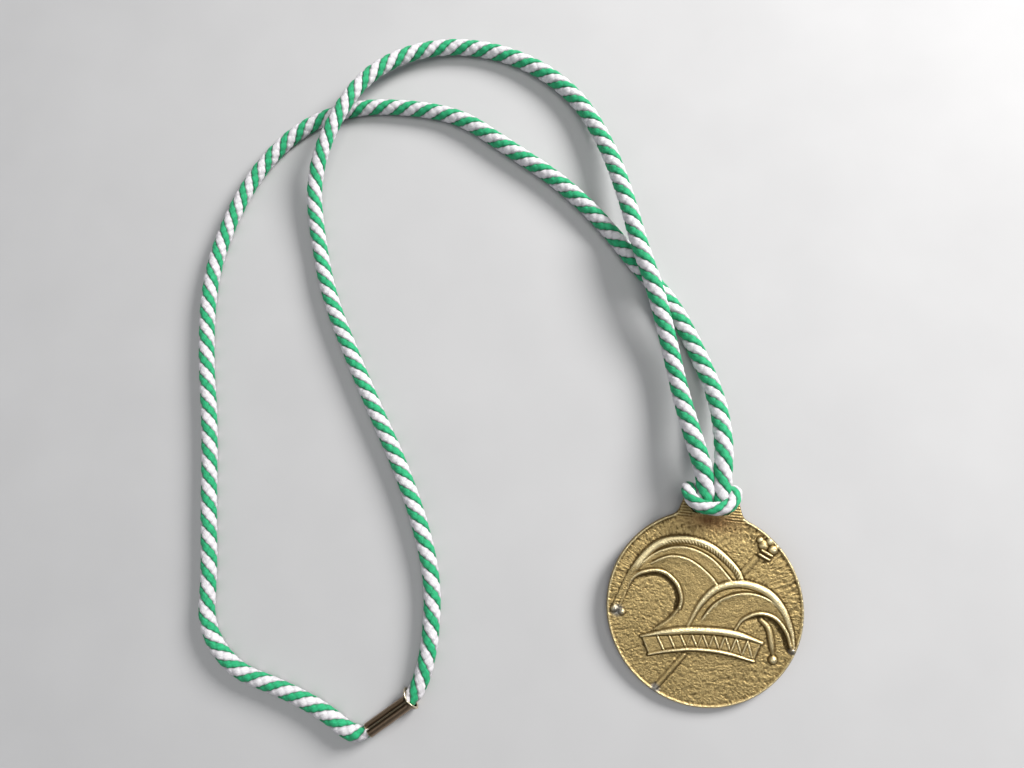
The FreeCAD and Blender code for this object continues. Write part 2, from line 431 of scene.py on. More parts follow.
stripes = 4                    # two green and two white
lay_pitch = 14.7               # length of one turn of a stripe
stitches_per_turn = 8
stitch_step = lay_pitch / stitches_per_turn
rings_per_stitch = 6
ring_gap = stitch_step / rings_per_stitch
points_per_stripe = 15
green_share = 0.92             # a green stripe's width over a quarter of the way round; white takes the rest
stripe_phase = 0.84            # turns the stripes so that they fall on the knot as they should
knot_slip = 0.17               # turns of lay the cord loses where it leaves the knot
stripe_groove = 0.40           # depth between two stripes
stitch_dimple = 0.20           # depth between two stitches of one stripe
stitch_skew = 0.58
edge_scallop = 0.06
crown_rise = 0.06              # how far a stripe's crown rises over the plain radius, which is lie
hidden_end = 4.2               # how far the cord goes on inside the sleeve
above_floor = 0.02             # least height of the cord's underside
# the cord's radius: on the far loop, what it gains near the medal and the knot, and where it is pressed
far_radius = 2.42
gain_near_medal = 0.20
gain_near_knot = 0.08
uneven_radius = 0.05
knot_radius = 1.92
low_mouth_radius = 1.80
high_mouth_radius = 2.22
hidden_radius = 0.68
# how the tight knot shapes the cord on the bar: wider along it, flatter against it
bar_widening = 0.07
bar_flattening = 0.26


def route_points():
    knot = [tuple(from_medal(u, bar_v + up, bar_w + out)) for u, up, out in left_knot + right_knot[::-1]]
    return left_route + knot + right_route


def spline_line(points):
    """Points read from the route's NURBS spline."""
    curve = bpy.data.curves.new("cord_route", "CURVE")
    curve.dimensions = "3D"
    spline = curve.splines.new("NURBS")
    spline.points.add(len(points) - 1)
    for point, place in zip(spline.points, points):
        point.co = (*place, 1)
    spline.order_u = 3
    spline.use_endpoint_u = True
    spline.resolution_u = 32
    holder = bpy.data.objects.new("cord_route", curve)
    mesh = bpy.data.meshes.new_from_object(holder)
    line = np.array([vertex.co for vertex in mesh.vertices])
    bpy.data.meshes.remove(mesh)
    bpy.data.objects.remove(holder)
    bpy.data.curves.remove(curve)
    return line


def spaced(line, gap):
    """The same line with evenly spaced points."""
    reach = np.concatenate([[0], np.cumsum(np.linalg.norm(np.diff(line, axis=0), axis=1))])
    places = np.linspace(0, reach[-1], int(reach[-1] / gap) + 1)
    return np.stack([np.interp(places, reach, line[:, axis]) for axis in range(3)], 1)


def carried_frames(line):
    """Tangent and two cross directions at each point, turning as little as possible."""
    tangents = np.gradient(line, axis=0)
    tangents /= np.linalg.norm(tangents, axis=1)[:, None]
    normals = np.zeros_like(line)
    normal = np.array([0.0, 0.0, 1.0])
    for index, tangent in enumerate(tangents):
        normal = normal - tangent * normal.dot(tangent)
        normal /= np.linalg.norm(normal)
        normals[index] = normal
    return tangents, normals, np.cross(tangents, normals)


def cord_thickness(line, reach, inside, at_bridge):
    """The cord's radius, how far each point is in the knot, and how much the sleeve squeezes it.

    It is fuller near the medal, thinner on the far loop, pulled thin in the knot and squeezed at the sleeve.
    """
    distance_up = np.where(np.abs(line[:, 0]) < 20, line[:, 1], 99)
    in_knot = smooth_step(31, 22, np.abs(reach - at_bridge))
    radius = far_radius + gain_near_medal * smooth_step(-140, -25, line[:, 0])
    radius = radius + gain_near_knot * smooth_step(62, 44, distance_up)
    radius = radius + uneven_radius * (value_noise(reach / 9.0, reach * 0 + 3.3) - 0.5)
    radius = radius * (1 - in_knot) + knot_radius * in_knot

    to_low = np.linalg.norm(line - sleeve_low_mouth, axis=1)
    to_high = np.linalg.norm(line - sleeve_high_mouth, axis=1)
    at_high = to_high < to_low
    to_mouth = np.minimum(to_low, to_high)
    mouth_radius = np.where(at_high, high_mouth_radius, low_mouth_radius)
    squeezed_over = np.where(at_high, 2.2, 4.5)
    squeezed = np.where(inside, 1.0, smooth_step(squeezed_over, 0.3, to_mouth))
    radius = radius * (1 - squeezed) + mouth_radius * squeezed
    shrunk = np.where(inside, smooth_step(0, 1.2, to_mouth), 0)
    return radius * (1 - shrunk) + hidden_radius * shrunk, in_knot, squeezed


def away_from_bar(line, tangents):
    """The direction at each point that leads away from the ear's bar, square to the cord."""
    outward = line - bar_middle
    outward[:, 0] = 0
    outward -= tangents * np.sum(outward * tangents, 1)[:, None]
    return outward / np.maximum(np.linalg.norm(outward, axis=1), 1e-6)[:, None]


def make_cord(green, white):
    """Two objects, the green stripes and the white ones, on one line from mouth to mouth of the sleeve."""
    seen_line = spaced(spline_line(route_points()), ring_gap)
    path = np.vstack([seen_line[:-1:8], seen_line[-1:]])
    extra = np.arange(1, int(hidden_end / ring_gap) + 1)[:, None] * ring_gap
    before = (seen_line[0] - extra * sleeve_axis)[::-1]
    after = seen_line[-1] + extra * sleeve_axis
    line = np.vstack([before, seen_line, after])
    reach = np.arange(len(line)) * ring_gap
    tangents, normals, binormals = carried_frames(line)
    inside = np.zeros(len(line), bool)
    inside[:len(extra)] = True
    inside[-len(extra):] = True

    at_bridge = reach[np.argmax(line[:, 2])]
    radius, in_knot, squeezed = cord_thickness(line, reach, inside, at_bridge)
    from_bar_axis = np.hypot(*(line - bar_middle)[:, 1:].T)
    wrapped = (in_knot * smooth_step(6.2, 4.2, from_bar_axis))[:, None, None]
    outward = away_from_bar(line, tangents)[:, None, :]
    lying = line[:, 2] < lie + 0.2
    centre = line.copy()
    drop = np.where(lying & ~inside, np.maximum(0, lie - radius - above_floor), 0)
    centre[:, 2] -= drop * (1 - squeezed)

    # stripes laid round the cord, with stitches along each stripe
    across = np.arange(points_per_stripe + 1) / points_per_stripe * 2 - 1
    stitch_count = reach / stitch_step
    slipped = knot_slip * smooth_step(at_bridge + 10, at_bridge + 26, reach)
    twist = -2 * math.pi * (reach / lay_pitch + slipped)
    twist = twist + edge_scallop * np.sin(2 * math.pi * stitch_count)
    stitch = stitch_count[:, None] - stitch_skew * across[None, :]
    from_stitch = stitch - np.round(stitch)
    sunk = stripe_groove * np.abs(across[None, :]) ** 3.2 + stitch_dimple * np.abs(2 * from_stitch) ** 3.0
    height = radius[:, None] * (1 + crown_rise / lie - sunk / (cord_diameter / 2))
    # how deep each point lies in a groove, used as painted shade
    painted_crease_shade = sunk / (stripe_groove + stitch_dimple * 0.5)
    along_cord = np.broadcast_to(reach[:, None], stitch.shape)

    made = []
    colours = (("cord_green_stripes", green, green_share), ("cord_white_stripes", white, 2 - green_share))
    for colour, (name, material, share) in enumerate(colours):
        points, faces, crease_shade_all, uv_all = [], [], [], []
        for number in range(colour, stripes, 2):
            middle = (number + (across[None, :] * share + 1) / 2) / stripes
            angle = 2 * math.pi * (middle + stripe_phase) + twist[:, None]
            offset = (height * np.cos(angle))[..., None] * normals[:, None, :] \
                + (height * np.sin(angle))[..., None] * binormals[:, None, :]
            radial = np.sum(offset * outward, -1, keepdims=True) * outward
            offset = offset + wrapped * (bar_widening * (offset - radial) - bar_flattening * radial)
            surface = centre[:, None, :] + offset
            surface[..., 2] = np.maximum(surface[..., 2], above_floor)
            faces.append(grid_faces(*surface.shape[:2]) + sum(len(p) for p in points))
            points.append(surface.reshape(-1, 3))
            crease_shade_all.append(painted_crease_shade.ravel())
            sideways = across[None, :] * 1.8 + number * 7.0 - 0.7 * from_stitch
            uv_all.append(np.stack([sideways.ravel(), along_cord.ravel()], -1))
        made.append(mesh_object(name, np.vstack(points), np.vstack(faces), material,
                                {"sunk": np.concatenate(crease_shade_all)}, np.vstack(uv_all)))
    return made[0], made[1], path


# ---- the crimp sleeve -------------------------------------------------------------------------------
seam_tilt = math.radians(-17)  # how far the seam leans from straight up
seam_gap = 0.04                # half the open seam, in radians
lobe_radius = 2.22
sheet_thickness = 0.30
rim_thickening = 0.38
flared_past = 0.9              # how far the flared rim stands past the high mouth


def make_sleeve(material):
    """Sheet rolled round the cord: two lobes, a sunk open seam between them, and flared mouths."""
    length = sleeve_length + flared_past
    stations = np.concatenate([[0, 0.08, 0.2, 0.45], np.linspace(0.8, length - 0.8, 34),
                               length - np.array([0.45, 0.2, 0.08, 0])])
    around = np.linspace(seam_gap, 2 * math.pi - seam_gap, 73)
    from_seam = np.minimum(around, 2 * math.pi - around)
    side = np.cross(sleeve_axis, (0, 0, 1.0))
    up = np.array([0, 0, 1.0])
    direction = np.outer(np.cos(around - seam_tilt), up) - np.outer(np.sin(around - seam_tilt), side)
    leaning = np.sin(around - seam_tilt)
    flare_shape = 0.60 + 0.30 * leaning ** 2 + 0.85 * np.maximum(leaning, 0)
    outer, inner, wear_and_highlight, hollow, uv = [], [], [], [], []
    for number, station in enumerate(stations):
        to_low = station
        to_high = length - station
        flare = smooth_step(2.4, 0, to_high) ** 1.4 * flare_shape
        sunk_seam = np.exp(-(from_seam / 0.46) ** 2)
        dents = 0.10 * (value_noise(around * 1.3 + 5, around * 0 + station / 3.2) - 0.5)
        valley = 0.95 * (0.35 + 0.65 * smooth_step(0, 1.5, to_high))
        valley = valley * (0.5 + 0.5 * smooth_step(0, 0.9, to_low))
        radius = lobe_radius + flare + dents - valley * sunk_seam
        set_back = 0.8 * np.exp(-(from_seam / 0.75) ** 2) * smooth_step(3.0, 0, to_high)
        sheet = sheet_thickness + rim_thickening * smooth_step(1.0, 0.1, to_high)
        rounding = 0.3 * sheet if number in (0, len(stations) - 1) else 0.0
        for shell, shrink in ((outer, rounding), (inner, sheet - rounding)):
            points = sleeve_low_mouth + np.outer(station - set_back, sleeve_axis)
            points = points + direction * (radius - shrink)[:, None]
            points[:, 2] = np.maximum(points[:, 2], 0.03 + shrink * 0.5)
            shell.append(points)
        # the mouths' rims and the seam's lips are painted bright: partly rubbed edges, partly painted
        # highlights
        rim = max(smooth_step(0.55, 0.1, to_high), 0.7 * smooth_step(0.3, 0.05, to_low))
        lip = smooth_step(0.22, 0.07, from_seam)
        wear_and_highlight.append(np.clip(rim + 0.7 * lip, 0, 1))
        # painted shade along the seam's valley
        hollow.append(np.exp(-(from_seam / 0.60) ** 4))
        uv.append(np.stack([around, around * 0 + station], -1))
    rows, columns = len(stations), len(around)
    outer_faces = grid_faces(rows, columns)
    inner_faces = grid_faces(rows, columns)[:, ::-1] + rows * columns
    shift = rows * columns
    ring = np.arange(columns - 1)
    low_rim = np.stack([ring + 1, ring, ring + shift, ring + 1 + shift], -1)
    last = (rows - 1) * columns + ring
    high_rim = np.stack([last, last + 1, last + 1 + shift, last + shift], -1)
    row = np.arange(rows - 1) * columns
    first_lip = np.stack([row, row + columns, row + columns + shift, row + shift], -1)
    far = row + columns - 1
    second_lip = np.stack([far + columns, far, far + shift, far + columns + shift], -1)
    faces = np.vstack([outer_faces, inner_faces, low_rim, high_rim, first_lip, second_lip])
    hollow_outside = np.concatenate(hollow)
    # the inner shell is painted wholly in shade
    attributes = {"wear_and_highlight": np.concatenate(wear_and_highlight + wear_and_highlight),
                  "hollow": np.concatenate([hollow_outside, np.ones(len(hollow_outside))])}
    return mesh_object("crimp_sleeve_shell", np.vstack(outer + inner), faces, material, attributes,
                       np.vstack(uv + uv))


# ---- the medal's relief -----------------------------------------------------------------------------
left_piping = through([(-25.5, -3), (-20.7, 8.2), (-14.8, 16), (-7, 18.5), (0.8, 16.9), (7.7, 11.7),
                       (10.1, 7.4)])
left_second = through([(-21.5, 6), (-19, 10), (-14, 14.5), (-7, 16.5), (1, 14), (8.3, 7.2)])
left_third = through([(-17.5, 10), (-11, 13.5), (-5, 13), (0.5, 9.6), (3.8, 6.2)])
left_inner = through([(-24, -3), (-21, 5.8), (-16.6, 8.6), (-12, 8.7), (-8.2, 5.9), (-6.6, 2.1),
                      (-6.9, -0.8)])
left_fade = through([(-6.9, -0.8), (-9.5, -4.5), (-13.5, -7.6)])
right_piping = through([(-4.2, -5.5), (-1.2, 1), (3.2, 5.9), (9.8, 7.8), (16.6, 6.4), (21.2, 2.3), (24, -3.4),
                        (24.9, -8)])
right_second = through([(-1.6, -5), (2, 0.8), (6.2, 4), (11.8, 5.5), (17.6, 4.4), (21.8, 0.9), (23.7, -3)])
right_inner = through([(8.8, -5), (11, -1.7), (15.3, 0.3), (19.7, -0.6), (22.9, -4.2), (24.3, -8)])
right_tail = through([(15.8, -1.5), (18.1, -3.9), (19.4, -9.4), (19.7, -11)])
band_top = through([(-17, -9.9), (-10.8, -8), (-3.7, -6.6), (5.1, -6), (11.3, -6.6), (16.4, -7.8)])
band_bottom = through([(-14.6, -14.6), (-8.2, -12.7), (-1.6, -11.6), (6.4, -11.6), (14.5, -13)])
staff_low = np.array([(-12.2, -23.9), (-4.6, -13.6)])
staff_high = np.array([(9.4, 10.0), (13.4, 15.2)])
collars = [np.array([(14.1, 16.6), (17.0, 15.3)]), np.array([(14.8, 17.8), (17.7, 16.5)])]
scratch = through([(-23.8, -13.8), (-22.1, -14.0), (-20.8, -15.2)])
# spacing of the surface's points: on the borders, on the relief, on the ground and on the back
border_spacing = 0.2
fine_spacing = 0.155
coarse_spacing = 0.22
back_spacing = 1.1
# small round beads: across, up, radius, top
bells = [(-25.2, -3.0, 1.15, 2.95), (-23.0, -3.7, 1.0, 2.85), (19.7, -12.0, 1.2, 3.3),
         (24.8, -8.9, 0.8, 3.05)]
ornament = [(15.3, 19.3, 1.5, 3.0), (17.9, 18.3, 1.45, 3.1), (16.9, 20.4, 1.2, 3.2), (14.2, 20.6, 0.95, 2.9),
            (19.0, 19.2, 0.9, 2.85)]
ridge_lines = [left_piping, left_second, left_third, left_inner, right_piping, right_second, right_inner,
               right_tail, band_top, band_bottom, staff_low]


def blend_least(a, b, reach):
    """The lesser of two distances, with the corner between them rounded."""
    share = np.maximum(reach - np.abs(a - b), 0) / reach
    return np.minimum(a, b) - share * share * reach / 4


def medal_distance(u, v):
    """Distance outside the medal's outline: the disc joined to the ear."""
    disc = np.hypot(u, v) - disc_radius
    run = np.array(ear_top_corner) - np.array(ear_foot)
    run /= np.hypot(*run)
    flank = (np.abs(u) - ear_foot[0]) * run[1] - (v - ear_foot[1]) * run[0]
    ear = -blend_least(-flank, -(v - ear_top_corner[1]), 1.6)
    ear = np.where(v > 0, ear, 50.0)
    return blend_least(disc, ear, 1.4)


def slot_distance(u, v):
    """Distance outside the slot."""
    over_u = np.abs(u) - slot_half[0] + slot_corner_radius
    over_v = np.abs(v - slot_middle_v) - slot_half[1] + slot_corner_radius
    outside = np.hypot(np.maximum(over_u, 0), np.maximum(over_v, 0))
    return outside + np.minimum(np.maximum(over_u, over_v), 0) - slot_corner_radius


def outline(distance, middle, spacing):
    """An evenly spaced closed line round a middle point where a distance is zero, and its outward side."""
    angle = np.linspace(0, 2 * math.pi, 6000, endpoint=False)
    near = np.zeros(angle.shape)
    far = np.full(angle.shape, 45.0)
    for _ in range(40):
        reach = (near + far) / 2
        beyond = distance(middle[0] + reach * np.cos(angle), middle[1] + reach * np.sin(angle)) > 0
        far = np.where(beyond, reach, far)
        near = np.where(beyond, near, reach)
    loop = np.stack([middle[0] + near * np.cos(angle), middle[1] + near * np.sin(angle)], 1)
    closed = np.vstack([loop, loop[:1]])
    travelled = np.concatenate([[0], np.cumsum(np.hypot(*np.diff(closed, axis=0).T))])
    places = np.linspace(0, travelled[-1], int(travelled[-1] / spacing), endpoint=False)
    loop = np.stack([np.interp(places, travelled, closed[:, axis]) for axis in range(2)], 1)
    ahead = np.roll(loop, -1, 0) - np.roll(loop, 1, 0)
    ahead /= np.hypot(*ahead.T)[:, None]
    return loop, np.stack([ahead[:, 1], -ahead[:, 0]], 1)


def ground(u, v):
    """The hammered background: short strokes, radial near the rim, wavering inside."""
    radius = np.hypot(u, v)
    turn = np.arctan2(v, u)
    radial = value_noise(turn * 27 / 0.58 + 300, radius / 1.7 + value_noise(u / 3, v / 3) * 2)
    lean = 1.5 * smooth_step(-8, 6, u) * value_noise(u / 9 + 20, v / 9 + 20) - 0.1
    ahead = u * np.cos(lean) + v * np.sin(lean)
    over = v * np.cos(lean) - u * np.sin(lean)
    inner = value_noise(ahead / 1.35 + 40, over / 0.55 + 40 + value_noise(u / 1.6, v / 1.6) * 1.3)
    crossed = value_noise(u / 0.8 + 80, v / 0.8 + 60)
    towards_rim = smooth_step(17, 23.5, radius) * (0.45 + 0.55 * smooth_step(-12, 4, v))
    strokes = radial * towards_rim + (0.7 * inner + 0.3 * crossed) * (1 - towards_rim)
    ridged = 1 - np.abs(2 * strokes - 1)
    pitted = value_noise(u / 0.42 + 11, v / 0.42 + 90) - 0.5
    return ground_height + (0.21 + 0.04 * towards_rim) * (ridged - 0.6) + 0.11 * pitted


def lay_ridge(height, u, v, line, half, low, top, taper=(0.6, 0.6), hatch=None, softness=0.6):
    """Raises a rounded ridge along a line.  Half is its half width; taper is how thin its two ends are."""
    distance, travelled, side, length = along(line, u, v)
    share = travelled / length
    ends = np.minimum(taper[0] + (1 - taper[0]) * smooth_step(0, 0.3, share),
                      taper[1] + (1 - taper[1]) * smooth_step(1, 0.7, share))
    width = half * ends
    inside = np.clip(1 - (distance / width) ** 2, 0, 1)
    crown = low + (top - low) * ends * inside ** softness
    if hatch is not None:
        first, last, period, depth = hatch
        wave = np.sin(2 * math.pi * (travelled + 0.8 * side * distance) / period)
        inner_half = smooth_step(0.25, -0.15, side * distance / half)
        cut = inner_half * smooth_step(first, first + 0.08, share) * (share < last)
        crown -= depth * (0.5 - 0.5 * wave) * cut
    beside = np.exp(-((distance - width - 0.14) / 0.16) ** 2) * (distance > width * 0.9)
    grooved = height - 0.07 * beside
    return np.where(inside > 0, np.maximum(grooved, crown), grooved)


def lay_step(height, u, v, line, crest, reach, groove):
    """Cuts a groove along a line and raises the face on its right into a crest that fades away inwards."""
    distance, travelled, side, length = along(line, u, v)
    share = travelled / length
    inward = -distance * side
    strength = smooth_step(0, 0.14, share) * smooth_step(1, 0.97, share)
    raised = crest * smooth_step(-0.14, 0.12, inward) * np.exp(-np.maximum(inward, 0) / reach)
    cut = groove * np.exp(-((inward + 0.30) / 0.22) ** 2)
    return height + strength * (raised - cut)


def lay_bead(height, u, v, bead):
    """Raises a small round bead out of the ground."""
    across, up, radius, top = bead
    inside = np.clip(1 - ((u - across) ** 2 + (v - up) ** 2) / radius ** 2, 0, 1)
    around = np.exp(-((np.hypot(u - across, v - up) - radius - 0.12) / 0.2) ** 2)
    return np.where(inside > 0, np.maximum(height, ground_height + (top - ground_height) * np.sqrt(inside)),
                    height - 0.06 * around)


def lay_zigzag(height, u, v):
    """Triangles between the band's two ridges: slanted strokes at its left end, full points at its right."""
    teeth = 9
    for tooth in range(teeth):
        share = (tooth + 0.5) / teeth
        middle = -13.2 + 27.2 * share
        low = np.interp(middle, band_bottom[:, 0], band_bottom[:, 1]) + 0.4
        high = np.interp(middle, band_top[:, 0], band_top[:, 1]) - 0.9
        half = 1.5
        peak = (middle - 0.9 * (1 - share), high)
        right_foot = (middle + half, low)
        left_foot = (middle - half, low)
        facet = depth_inside(np.array([left_foot, peak, right_foot]), u, v)
        height = height + 0.14 * share * smooth_step(-0.05, 0.25, facet)
        height = lay_ridge(height, u, v, np.array([peak, right_foot]), 0.32, 2.5, 2.94, (0.9, 0.7))
        if share > 0.3:
            top = 2.72 + 0.18 * smooth_step(0.3, 0.9, share)
            height = lay_ridge(height, u, v, np.array([left_foot, peak]), 0.30, 2.5, top, (0.6, 0.9))
    return height


def front_height(u, v):
    """Height of the medal's front over its back plane."""
    height = ground(u, v)
    sand = 0.07 * (value_noise(u / 0.36, v / 0.36) - 0.5) + 0.06 * (value_noise(u / 0.8 + 9, v / 0.8) - 0.5)
    height = lay_ridge(height, u, v, staff_low, 0.75, 1.95, 2.38, (1.0, 0.9))
    height = lay_ridge(height, u, v, staff_high, 0.95, 1.9, 2.25, (0.8, 1.0))

    behind_band = [(9.5, 0), (8, -7.5), (-12, -8.5)]
    left_loop = np.vstack([left_piping, behind_band, left_fade[::-1], left_inner[::-1]])
    depth = depth_inside(left_loop, u, v)
    lobe = ground_height + 0.50 * smooth_step(-0.1, 0.5, depth) + 0.16 * smooth_step(0, 4, depth) + sand
    height = np.where(depth > -0.1, np.maximum(height, lobe), height)
    height = lay_step(height, u, v, left_third, 0.36, 1.1, 0.18)
    height = lay_step(height, u, v, left_second, 0.36, 0.9, 0.28)
    rope = (0.44, 1.1, 0.95, 0.17)
    height = lay_ridge(height, u, v, left_piping, 1.12, 2.3, 3.08, (0.62, 0.85), rope, 0.42)

    distance, travelled, side, length = along(left_inner, u, v)
    hollow = np.exp(-((distance - 1.1) / 0.55) ** 2) * (side < 0)
    height = height - 0.55 * hollow * smooth_step(0.25, 0.45, travelled / length)
    height = lay_ridge(height, u, v, left_inner, 0.60, 2.3, 3.1, (0.5, 0.9), (0.45, 1.1, 0.8, 0.20))
    height = lay_ridge(height, u, v, left_fade, 0.6, 2.0, 2.55, (1.0, 0.5))

    right_loop = np.vstack([right_piping, right_inner[::-1]])
    depth = depth_inside(right_loop, u, v)
    lobe = ground_height + 0.60 * smooth_step(-0.1, 0.5, depth) + 0.14 * smooth_step(0, 4, depth) + sand
    height = np.where(depth > -0.1, np.maximum(height, lobe), height)
    height = lay_step(height, u, v, right_second, 0.38, 0.9, 0.28)
    height = lay_ridge(height, u, v, right_piping, 1.05, 2.3, 3.25, (0.6, 0.6), None, 0.42)

    distance, travelled, side, length = along(right_inner, u, v)
    hollow = np.exp(-((distance - 1.1) / 0.6) ** 2) * (side < 0)
    height = height - 0.52 * hollow * smooth_step(0.15, 0.35, travelled / length)
    height = lay_ridge(height, u, v, right_tail, 0.85, 1.9, 2.75, (0.8, 0.6))
    height = lay_ridge(height, u, v, right_inner, 0.55, 2.3, 3.2, (0.6, 0.8))

    band_loop = np.vstack([band_top, band_bottom[::-1]])
    depth = depth_inside(band_loop, u, v)
    band = ground_height + 0.62 * smooth_step(-0.05, 0.25, depth) + 0.5 * sand
    height = np.where(depth > -0.05, band, height)
    height = lay_zigzag(height, u, v)
    height = lay_ridge(height, u, v, band_top, 1.08, 2.3, 3.45, (0.35, 0.45))
    height = lay_ridge(height, u, v, band_bottom, 0.58, 2.1, 3.25, (0.6, 0.7))

    # the left tips are worn down into the ground
    worn = 0.6 * smooth_step(-17.5, -23, u) * smooth_step(12, 7, v)
    height = height * (1 - worn) + (ground(u, v) + 0.15) * worn
    for collar in collars:
        height = lay_ridge(height, u, v, collar, 0.42, 2.0, 2.95, (0.9, 0.9))
    for bead in ornament + bells:
        height = lay_bead(height, u, v, bead)
    height = lay_ridge(height, u, v, scratch, 0.22, 1.95, 2.22, (0.6, 0.6))

    # the ear's face, with cast lines across its shoulders, and the rim round the whole outline
    edge = -medal_distance(u, v)
    near_ear = np.abs(u) < 11
    on_ear = smooth_step(22.8, 27.4, v) * near_ear
    on_shoulders = smooth_step(3.5, 6.0, np.abs(u)) * smooth_step(24, 25.5, v) * near_ear
    lines = 0.13 * np.sin(2 * math.pi * v / 0.82) * on_shoulders
    height = height * (1 - on_ear) + (ear_front + 0.5 * sand) * on_ear + lines
    rim = smooth_step(rim_width + 0.3, 0.35, edge) * smooth_step(26.5, 24.5, v)
    waver = 0.10 * (value_noise(u * 1.1 + 50, v * 1.1 + 50) - 0.5) + 0.45 * (ground(u, v) - ground_height)
    height = np.maximum(height, height * (1 - rim) + (rim_height + waver) * rim)
    to_edge = np.minimum(edge, slot_distance(u, v))
    over = np.clip(1 - to_edge / 0.5, 0, 1)
    return height - 0.5 * (1 - np.sqrt(np.clip(1 - over ** 2, 0, 1)))


def back_height(u, v):
    """Height of the medal's back over its plane: flat, eased at the rim, a little uneven as cast."""
    radius = np.hypot(u, v)
    eased = edge_ease * smooth_step(back_face_radius, disc_radius, radius)
    return eased + 0.03 * value_noise(u / 2.3 + 15, v / 2.3 + 33)


def staggered(spacing):
    """Points of a staggered grid over the medal."""
    rows = np.arange(-28, 32, spacing * math.sqrt(3) / 2)
    columns = np.arange(-28, 28, spacing)
    v = np.repeat(rows, len(columns)).reshape(len(rows), -1)
    u = np.tile(columns, (len(rows), 1)) + (np.arange(len(rows)) % 2)[:, None] * spacing / 2
    return u.ravel(), v.ravel()


def filled(loops, extra, inside_points):
    """Triangles over the medal's plan: constrained to the loops, with extra points inside."""
    points = np.vstack(loops + extra + [inside_points])
    edges = []
    start = 0
    for loop in loops:
        edges += [(start + i, start + (i + 1) % len(loop)) for i in range(len(loop))]
        start += len(loop)
    result = delaunay_2d_cdt([Vector(p) for p in points], edges, [], 1, 1e-6)
    source = np.array([origins[0] for origins in result[3]])
    triangles = source[np.array(result[2])]
    middle = points[triangles].mean(1)
    keep = (slot_distance(*middle.T) > 0) & (medal_distance(*middle.T) < 0)
    return points, triangles[keep]


